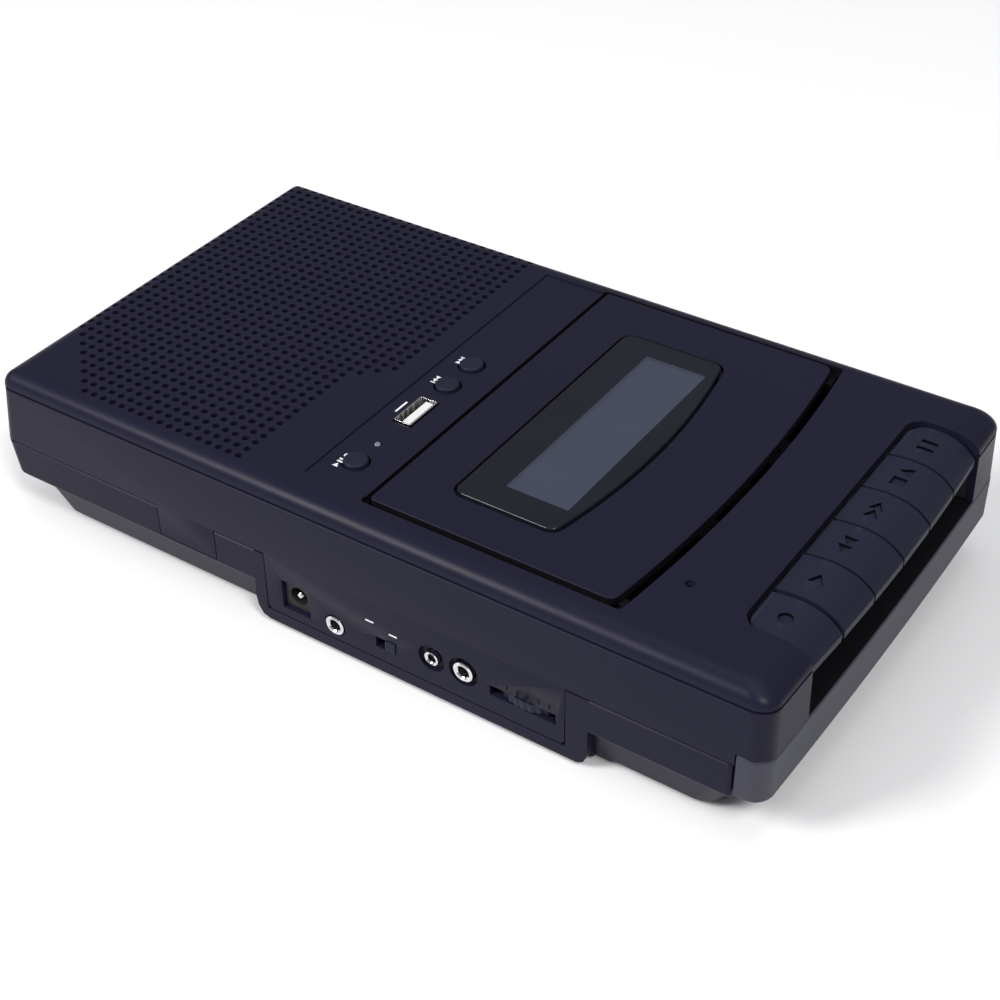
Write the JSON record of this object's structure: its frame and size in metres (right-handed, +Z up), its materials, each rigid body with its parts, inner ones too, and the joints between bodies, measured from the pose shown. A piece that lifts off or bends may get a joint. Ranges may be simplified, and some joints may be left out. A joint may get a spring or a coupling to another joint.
{
  "type": "portable cassette recorder",
  "caption": "Flat portable cassette recorder with piano keys, sprung cassette lid, loudspeaker, USB socket, side jacks and a pull-out carrying handle.",
  "frame": {"origin": "middle of the footprint, in the plane of the feet that stand on the table", "axes": "+Z up; +Y from the key end to the loudspeaker end; -X is the side with the jacks"},
  "size_m": [0.1385, 0.2514, 0.05],
  "materials": {
    "case": "fine spark-eroded texture, dark navy black",
    "key_plastic": "satin moulded, dark navy black",
    "window": "polished black with a smoked pane",
    "inner_plastic": "moulded black",
    "chrome": "bright nickel plate",
    "steel": "zinc plated pressed sheet",
    "brass": "turned",
    "white_plastic": "moulded white",
    "rubber": "moulded black rubber",
    "board": "solder-masked laminate",
    "paper": "pressed black paper pulp",
    "ferrite": "sintered grey"
  },
  "bodies": {
    "machine": {"upper_case": "case", "lower_case": "case", "dc_inlet": "inner_plastic", "volume_control_body": "inner_plastic", "usb_socket_shell": "chrome", "earphone_jack": "chrome", "remote_jack": "chrome", "microphone_jack": "chrome", "battery_contact_front_left": "chrome", "battery_contact_front_right": "chrome", "battery_contact_rear_middle": "chrome", "battery_contact_rear_left": "chrome", "battery_contact_rear_right": "chrome", "key_shaft": "steel", "deck_plate": "steel", "motor": "steel", "speaker_basket": "steel", "microphone_capsule": "steel", "source_switch_body": "steel", "case_screw_1": "steel", "case_screw_2": "steel", "case_screw_3": "steel", "case_screw_4": "steel", "usb_socket_tongue": "white_plastic", "status_led": "white_plastic", "drive_belt": "rubber", "foot_1": "rubber", "foot_2": "rubber", "foot_3": "rubber", "foot_4": "rubber", "control_board": "board", "main_board": "board", "speaker_cone": "paper", "speaker_magnet": "ferrite"},
    "lid": {"cassette_lid": "case", "lid_window": "window", "cassette_holder": "inner_plastic"},
    "handle": {"carrying_handle": "case"},
    "door": {"battery_door": "case"},
    "supply_reel": {"supply_spindle": "white_plastic"},
    "takeup_reel": {"takeup_spindle": "white_plastic"},
    "capstan": {"flywheel": "steel", "capstan_shaft": "chrome"},
    "pulley": {"motor_pulley": "brass"},
    "heads": {"head_carriage": "steel", "record_play_head": "chrome", "erase_head": "inner_plastic"},
    "pinch": {"pinch_arm": "steel"},
    "roller": {"pinch_roller": "rubber"},
    "volume": {"volume_wheel": "key_plastic"},
    "source": {"source_switch_knob": "key_plastic"},
    "record_key_lever": {"record_key": "key_plastic"},
    "play_key_lever": {"play_key": "key_plastic"},
    "rewind_key_lever": {"rewind_key": "key_plastic"},
    "forward_key_lever": {"forward_key": "key_plastic"},
    "stop_eject_key_lever": {"stop_eject_key": "key_plastic"},
    "pause_key_lever": {"pause_key": "key_plastic"},
    "play_record_button_cap": {"play_record_button": "key_plastic"},
    "previous_button_cap": {"previous_button": "key_plastic"},
    "next_button_cap": {"next_button": "key_plastic"}
  },
  "joints": [
    {"name": "record_key_press", "type": "hinge", "parent": "machine", "child": "record_key_lever", "pos_m": [0, -0.092, 0.038], "axis": [1, 0, 0], "range_deg": [0, 9], "stiffness_Nm_per_rad": 0.2, "springref_deg": -8.59},
    {"name": "play_key_press", "type": "hinge", "parent": "machine", "child": "play_key_lever", "pos_m": [0, -0.092, 0.038], "axis": [1, 0, 0], "range_deg": [0, 9], "stiffness_Nm_per_rad": 0.2, "springref_deg": -8.59},
    {"name": "rewind_key_press", "type": "hinge", "parent": "machine", "child": "rewind_key_lever", "pos_m": [0, -0.092, 0.038], "axis": [1, 0, 0], "range_deg": [0, 9], "stiffness_Nm_per_rad": 0.2, "springref_deg": -8.59},
    {"name": "forward_key_press", "type": "hinge", "parent": "machine", "child": "forward_key_lever", "pos_m": [0, -0.092, 0.038], "axis": [1, 0, 0], "range_deg": [0, 9], "stiffness_Nm_per_rad": 0.2, "springref_deg": -8.59},
    {"name": "stop_eject_key_press", "type": "hinge", "parent": "machine", "child": "stop_eject_key_lever", "pos_m": [0, -0.092, 0.038], "axis": [1, 0, 0], "range_deg": [0, 9], "stiffness_Nm_per_rad": 0.2, "springref_deg": -8.59},
    {"name": "pause_key_press", "type": "hinge", "parent": "machine", "child": "pause_key_lever", "pos_m": [0, -0.092, 0.038], "axis": [1, 0, 0], "range_deg": [0, 9], "stiffness_Nm_per_rad": 0.2, "springref_deg": -8.59},
    {"name": "lid_hinge", "type": "hinge", "parent": "machine", "child": "lid", "pos_m": [0, -0.076, 0.0448], "axis": [1, 0, 0], "range_deg": [0, 36]},
    {"name": "handle_slide", "type": "slide", "parent": "machine", "child": "handle", "axis": [0, -1, 0], "range_m": [0, 0.04]},
    {"name": "battery_door_hinge", "type": "hinge", "parent": "machine", "child": "door", "pos_m": [0, 0.0554, 0.0015], "axis": [1, 0, 0], "range_deg": [-95, 0]},
    {"name": "capstan_spin", "type": "hinge", "parent": "machine", "child": "capstan", "pos_m": [0.023, -0.0656, 0.028], "axis": [0, 0, 1], "continuous": true},
    {"name": "pulley_spin", "type": "hinge", "parent": "machine", "child": "pulley", "pos_m": [-0.032, -0.022, 0.027], "axis": [0, 0, 1], "continuous": true},
    {"name": "takeup_spin", "type": "hinge", "parent": "machine", "child": "takeup_reel", "pos_m": [0.0222, -0.0374, 0.036], "axis": [0, 0, 1], "continuous": true},
    {"name": "supply_spin", "type": "hinge", "parent": "machine", "child": "supply_reel", "pos_m": [-0.0203, -0.0374, 0.036], "axis": [0, 0, 1], "continuous": true},
    {"name": "head_slide", "type": "slide", "parent": "machine", "child": "heads", "axis": [0, 1, 0], "range_m": [0, 0.004]},
    {"name": "pinch_swing", "type": "hinge", "parent": "machine", "child": "pinch", "pos_m": [0.042, -0.08, 0.037], "axis": [0, 0, 1], "range_deg": [-16, 0]},
    {"name": "roller_spin", "type": "hinge", "parent": "pinch", "child": "roller", "pos_m": [0.024, -0.0775, 0.041], "axis": [0, 0, 1], "continuous": true},
    {"name": "volume_turn", "type": "hinge", "parent": "machine", "child": "volume", "pos_m": [-0.056, -0.0562, 0.0129], "axis": [0, 0, 1], "range_deg": [-150, 150]},
    {"name": "source_slide", "type": "slide", "parent": "machine", "child": "source", "axis": [0, 1, 0], "range_m": [0, 0.003]},
    {"name": "play_record_button_press", "type": "slide", "parent": "machine", "child": "play_record_button_cap", "axis": [0, 0, -1], "range_m": [0, 0.0008], "stiffness_N_per_m": 400, "springref_m": -0.0006},
    {"name": "previous_button_press", "type": "slide", "parent": "machine", "child": "previous_button_cap", "axis": [0, 0, -1], "range_m": [0, 0.0008], "stiffness_N_per_m": 400, "springref_m": -0.0006},
    {"name": "next_button_press", "type": "slide", "parent": "machine", "child": "next_button_cap", "axis": [0, 0, -1], "range_m": [0, 0.0008], "stiffness_N_per_m": 400, "springref_m": -0.0006}
  ],
  "couplings": [
    {"joint": "pulley_spin", "follows": "capstan_spin", "ratio": 6.6},
    {"joint": "takeup_spin", "follows": "capstan_spin", "ratio": 0.25},
    {"joint": "supply_spin", "follows": "capstan_spin", "ratio": 0.25},
    {"joint": "head_slide", "follows": "play_key_press", "m_per_rad": 0.0254},
    {"joint": "pinch_swing", "follows": "play_key_press", "ratio": -1.75}
  ]
}
